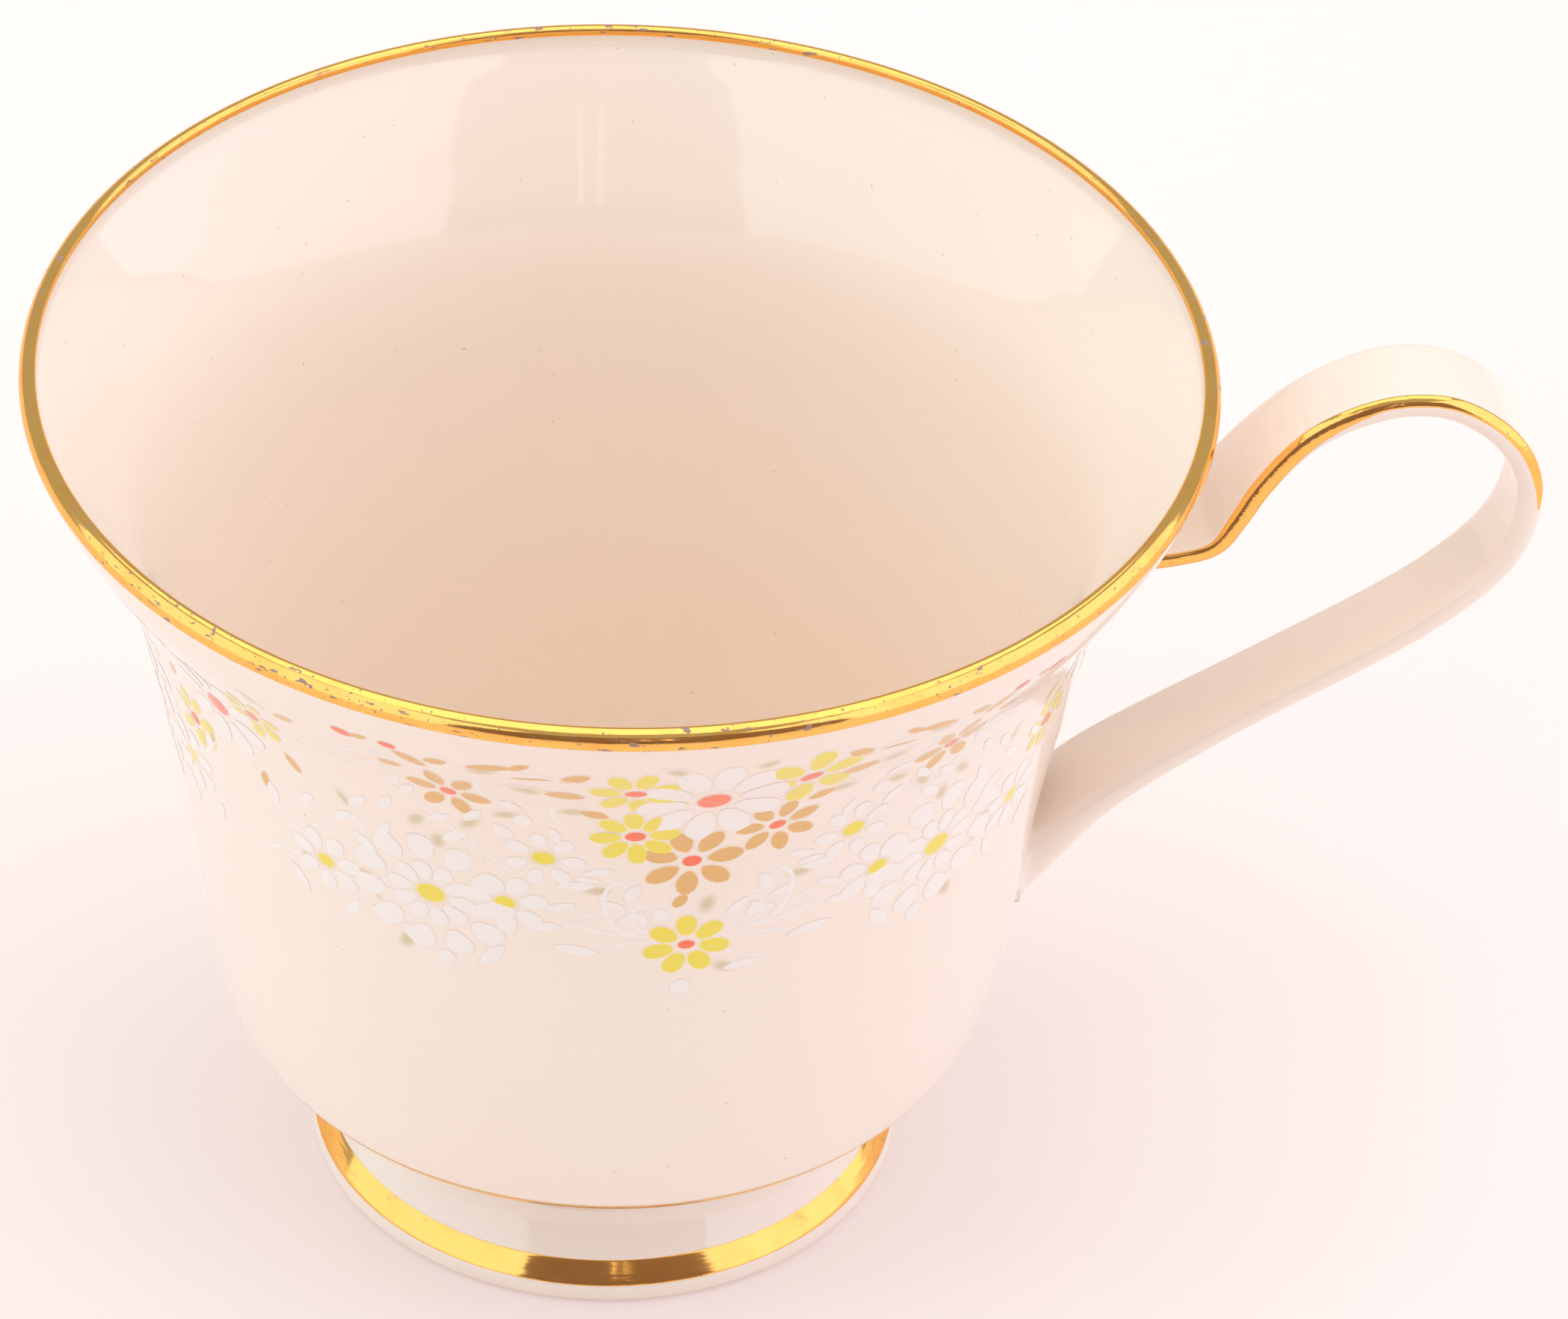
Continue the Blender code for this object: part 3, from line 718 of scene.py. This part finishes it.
def enamel(name, colour, edge_share, roughness, ground=CHINA):
    """Fired enamel: uneven in strength as laid, and fading to the ground's colour between edge_share
    of the way out and the outline. For the white petals that colour is a darker painted shade instead
    of the china, so a line of painted shade parts petals that touch. A small share gives a soft
    shadow of a leaf."""
    fired = Finish(name, {"IOR": 1.5, "Coat Weight": 0.2, "Coat Roughness": 0.05})
    edge = fired.node("ShaderNodeAttribute", {"attribute_name": "edge"}, out="Fac")
    uneven = fired.noise(900.0, 2.0)
    body = fired.mix(uneven * 0.1, colour, ground)
    return fired.paint({
        "Base Color": fired.mix(edge.rise(edge_share, 1.0), body, ground),
        "Roughness": roughness + 0.08 * uneven,
        "Normal": fired.bump(uneven, 0.05, 0.0002),
    })


WHITE_ENAMEL = (0.925, 0.862, 0.805)
WHITE_EDGE = (0.90, 0.765, 0.655)  # painted shade: a thin darker line parts petals that touch
slots = [f"floral_transfer_{number}" for number in range(1, 7)]
layers = (
    ("olive_shade", olive_rows, 0.012, (0.70, 0.58, 0.36), 0.15, 0.12, CHINA),
    ("ochre_petals", ochre_rows, 0.020, (0.79, 0.435, 0.115), 0.80, 0.10, CHINA),
    ("yellow_petals", yellow_rows, 0.024, (0.885, 0.72, 0.04), 0.80, 0.10, CHINA),
    ("white_petals", white_rows, 0.030, WHITE_ENAMEL, 0.84, 0.09, WHITE_EDGE),
    ("coral_hearts", coral_rows, 0.042, (1.0, 0.145, 0.042), 0.85, 0.10, CHINA),
)
for name, rows, proud, *look in layers:
    fired = enamel(f"{name}_enamel", *look)
    dress(petals(name, rows, proud), fired, "floral_enamel", *slots)

# Stems and tendrils in the same white, each a tapering stroke of the brush.
STROKE_COLUMNS = 5
STROKE_STEPS = 22
STROKE_ENDS = 0.25  # its width at its ends, as a share of its full width
STROKE_FALL = 0.8  # share of its height that it loses towards its edges
DEGREE = 0.70  # millimetres along the wall


def stroke(stations, width):
    """One stroke: a smooth line through stations of (degrees, height), its width swelling as a
    half sine from end to end. It gives a grid of (degrees, height, share across)."""
    line = smooth_line(np.array(stations, float), STROKE_STEPS // (len(stations) - 1) + 1)
    share = np.linspace(0.0, 1.0, len(line))
    run = np.gradient(line, axis=0) * (DEGREE, 1.0)
    run /= np.linalg.norm(run, axis=1)[:, None]
    swell = STROKE_ENDS + (1 - STROKE_ENDS) * np.sin(np.pi * share) ** 0.6
    half = (width / 2 * swell)[:, None]
    across = np.linspace(-1.0, 1.0, STROKE_COLUMNS)
    degrees = line[:, :1] - run[:, 1:] * half * across / DEGREE
    height = line[:, 1:] + run[:, :1] * half * across
    return np.stack([degrees, height, across + 0 * degrees], axis=-1)


spray_strokes = (
    stroke([(31.7, 63.0), (29.6, 61.2), (27.3, 59.7), (24.4, 58.0), (21.4, 56.5)], 0.38),
    stroke([(46.6, 66.0), (42.0, 66.3), (37.0, 65.4), (31.7, 63.0), (27.8, 60.4)], 0.30),
    stroke([(13.0, 71.0), (16.6, 71.6), (20.0, 72.2)], 0.40),
    stroke([(23.0, 69.9), (24.4, 69.0), (24.0, 67.0), (22.3, 65.9), (20.9, 66.4)], 0.45),
    stroke([(6.4, 50.0), (9.3, 50.4), (11.0, 52.6), (11.2, 54.8), (9.8, 56.2), (8.2, 55.4)], 0.55),
    stroke([(5.4, 49.9), (7.4, 50.9), (7.9, 52.4), (7.0, 53.4), (5.6, 53.1)], 0.45),
    stroke([(5.8, 49.7), (10.0, 50.0), (14.0, 50.8), (17.9, 51.6)], 0.40),
    stroke([(5.6, 49.2), (8.6, 48.9), (12.2, 48.4)], 0.34),
    stroke([(8.6, 50.6), (12.0, 51.9), (16.3, 53.4)], 0.35),
    stroke([(15.4, 66.6), (16.9, 65.4), (16.4, 63.8), (14.8, 63.9)], 0.42),
    stroke([(36.2, 64.2), (33.8, 66.2), (35.2, 68.2), (37.6, 67.4)], 0.42),
    stroke([(33.0, 70.4), (37.0, 69.8), (41.0, 67.0)], 0.30),
)
bunch_strokes = (
    stroke([(3.0, 58.0), (7.0, 54.5), (12.0, 52.4)], 0.35),
    stroke([(1.0, 48.0), (6.0, 49.6), (10.5, 50.2)], 0.45),
    stroke([(14.0, 55.0), (17.0, 57.4), (19.2, 58.0), (20.4, 56.4)], 0.40),
)


def strokes(name, groups, proud):
    """All the strokes on the wall, each with its mirror image, as strips whose edges thin out."""
    grids = []
    for members, middles in groups:
        for grid in members:
            for side in (1, -1):
                for middle in middles:
                    laid = grid * (side, 1, 1) + (middle, 0, 0)
                    away = (laid[..., 0] + 180.0) % 360.0 - 180.0
                    if np.abs(away).min() > HANDLE_CLEAR:
                        grids.append(laid[:, ::side])
    faces, points, edges, start = [], [], [], 0
    for grid in grids:
        index = start + np.arange(grid.shape[0] * grid.shape[1]).reshape(grid.shape[:2])
        corners = [index[:-1, :-1], index[:-1, 1:], index[1:, 1:], index[1:, :-1]]
        faces.append(np.stack(corners, axis=-1).reshape(-1, 4))
        lift = proud * (1 - STROKE_FALL * grid[..., 2] ** 4)
        points.append(on_wall(grid[..., 0], grid[..., 1], lift).reshape(-1, 3))
        edges.append(np.abs(grid[..., 2]).ravel())
        start += index.size
    return mesh_piece(name, np.vstack(points), np.vstack(faces), {"edge": np.concatenate(edges)})


stroke_groups = ((spray_strokes, SPRAY_MIDDLES), (bunch_strokes, BUNCH_MIDDLES))
tendrils = strokes("white_tendrils", stroke_groups, 0.022)
dress(tendrils, enamel("tendril_enamel", WHITE_ENAMEL, 0.9, 0.09), "floral_enamel", *slots)

# ------------------------------------------------------------------------------- table and light
# The cup stands on a pale matt table in a soft white tent: bright walls left and right, a lit roof,
# and in front the opening where the camera looks in, drawn as a dark sheet: painted shade for the
# unlit room beyond.

CUP_AXIS = Vector((AXIS_X * MM, 0.0, 0.0))
CAMERA_FROM_AXIS = Vector((-0.04673, -0.60343, 0.52560))
CAMERA_TILT = math.radians(90.0 - 38.2525)
CAMERA_ROLL = math.radians(2.178)
CAMERA_TURN = math.radians(-5.723)  # from a straight view of the cup's side, the handle to the right
CAMERA_LENS = 219.93
TABLE_REACH = 4.0  # from the middle to each edge


def staged(name, points, faces, finish, seen):
    """A flat sheet that isn't part of the cup, seen by the camera or only in reflections."""
    mesh = bpy.data.meshes.new(name)
    mesh.from_pydata(points, [], faces)
    mesh.materials.append(finish.material)
    sheet = bpy.data.objects.new(name, mesh)
    bpy.context.scene.collection.objects.link(sheet)
    sheet.visible_camera = seen


top = Finish("pale_table", {"Roughness": 0.55, "IOR": 1.3})
top.paint({
    "Base Color": top.mix(top.noise(6.0), (0.715, 0.672, 0.651), (0.725, 0.682, 0.661)),
    "Emission Color": (1.0, 0.76, 0.72),
    "Emission Strength": 0.25,  # the sheet is lit faintly from below
})
corners = [(x * TABLE_REACH, y * TABLE_REACH, 0.0) for x, y in ((-1, -1), (1, -1), (1, 1), (-1, 1))]
staged("table", corners, [(0, 1, 2, 3)], top, seen=True)


def softbox(name, direction, distance, size, power, colour):
    """A rectangular area lamp facing the cup from a direction."""
    lamp = bpy.data.lights.new(name, "AREA")
    lamp.shape = "RECTANGLE"
    lamp.size, lamp.size_y = size
    lamp.energy = power
    lamp.color = colour
    holder = bpy.data.objects.new(name, lamp)
    aim = Vector(direction).normalized()
    holder.location = CUP_AXIS + aim * distance
    holder.rotation_euler = aim.to_track_quat("Z", "Y").to_euler()
    holder.visible_camera = False
    bpy.context.scene.collection.objects.link(holder)


softbox("left_wall", (-1.0, -0.35, 0.50), 1.2, (2.0, 1.3), 7.6, (0.86, 0.965, 1.0))
softbox("right_wall", (1.0, -0.35, 0.50), 1.2, (2.0, 1.3), 9.0, (0.88, 0.88, 1.0))
softbox("roof", (0.0, 0.1, 1.0), 1.4, (1.8, 1.6), 12.6, (1.0, 0.87, 0.76))

OPENING_AWAY = 0.9  # from the cup's axis to the opening's upright plane
OPENING_HALF = 0.62
OPENING_ASIDE = 0.15  # to the camera's right
OPENING_POWER = 0.6  # 1 is half an ellipse, 0 a rectangle
OPENING_HEIGHT = 0.76
OPENING_FOOT = 0.04
OPENING_STEPS = 32
outline = arc((0.0, 0.0), 1.0, 0.0, 180.0, OPENING_STEPS)
outline = np.sign(outline) * np.abs(outline) ** OPENING_POWER
outline = outline * (OPENING_HALF, OPENING_HEIGHT) + (OPENING_ASIDE, OPENING_FOOT)
across = Vector((-CAMERA_FROM_AXIS.y, CAMERA_FROM_AXIS.x, 0.0)).normalized()
away = Vector((CAMERA_FROM_AXIS.x, CAMERA_FROM_AXIS.y, 0.0)).normalized() * OPENING_AWAY
opening_sheet = [CUP_AXIS + away + across * x + Vector((0.0, 0.0, z)) for x, z in outline]
# The opening's dark colour is painted shade, standing in for the unlit room seen through it.
dark = Finish("opening_painted_shade", {"Roughness": 0.9, "Specular IOR Level": 0.0})
dark.paint({"Base Color": dark.mix(dark.noise(9.0), (0.225, 0.18, 0.20), (0.265, 0.21, 0.23))})
staged("tent_opening", opening_sheet, [tuple(range(len(opening_sheet)))], dark, seen=False)

# Two thin upright lights stand side by side in the middle of the opening.
STRIPS_APART = 0.07
STRIPS_ASIDE = 0.12  # to the camera's right
STRIP_WIDTH = 0.016
STRIP_HEIGHTS = (0.36, 0.60)
STRIPS_BEFORE = 0.01  # nearer to the cup than the dark sheet of painted shade in the opening
strips_middle = CUP_AXIS + away * (1 - STRIPS_BEFORE / OPENING_AWAY) + across * STRIPS_ASIDE
strip_sides = [
    side * STRIPS_APART / 2 + edge * STRIP_WIDTH / 2 for side in (-1, 1) for edge in (-1, 1)
]
strip_points = [
    strips_middle + across * x + Vector((0.0, 0.0, z)) for x in strip_sides for z in STRIP_HEIGHTS
]
lit = Finish("strip_light", {"Emission Color": (1.0, 0.93, 0.85, 1.0), "Emission Strength": 1.4})
lit.paint({"Base Color": lit.mix(lit.noise(9.0), (0.20, 0.19, 0.20), (0.24, 0.23, 0.24))})
staged("strip_lights", strip_points, [(0, 2, 3, 1), (4, 6, 7, 5)], lit, seen=False)

world = bpy.data.worlds.new("tent")
bpy.context.scene.world = world
world.use_nodes = True
world.node_tree.nodes["Background"].inputs["Color"].default_value = (0.84, 0.915, 1.0, 1.0)
world.node_tree.nodes["Background"].inputs["Strength"].default_value = 0.60
bpy.context.scene.view_settings.view_transform = "Standard"

camera = bpy.data.objects.new("camera", bpy.data.cameras.new("camera"))
camera.data.sensor_width = 36.0
camera.data.lens = CAMERA_LENS
camera.data.clip_start, camera.data.clip_end = 0.05, 20.0
camera.matrix_world = (
    Matrix.Translation(CUP_AXIS + CAMERA_FROM_AXIS)
    @ Matrix.Rotation(CAMERA_TURN, 4, "Z")
    @ Matrix.Rotation(CAMERA_TILT, 4, "X")
    @ Matrix.Rotation(CAMERA_ROLL, 4, "Z")
)
bpy.context.scene.collection.objects.link(camera)
bpy.context.scene.camera = camera
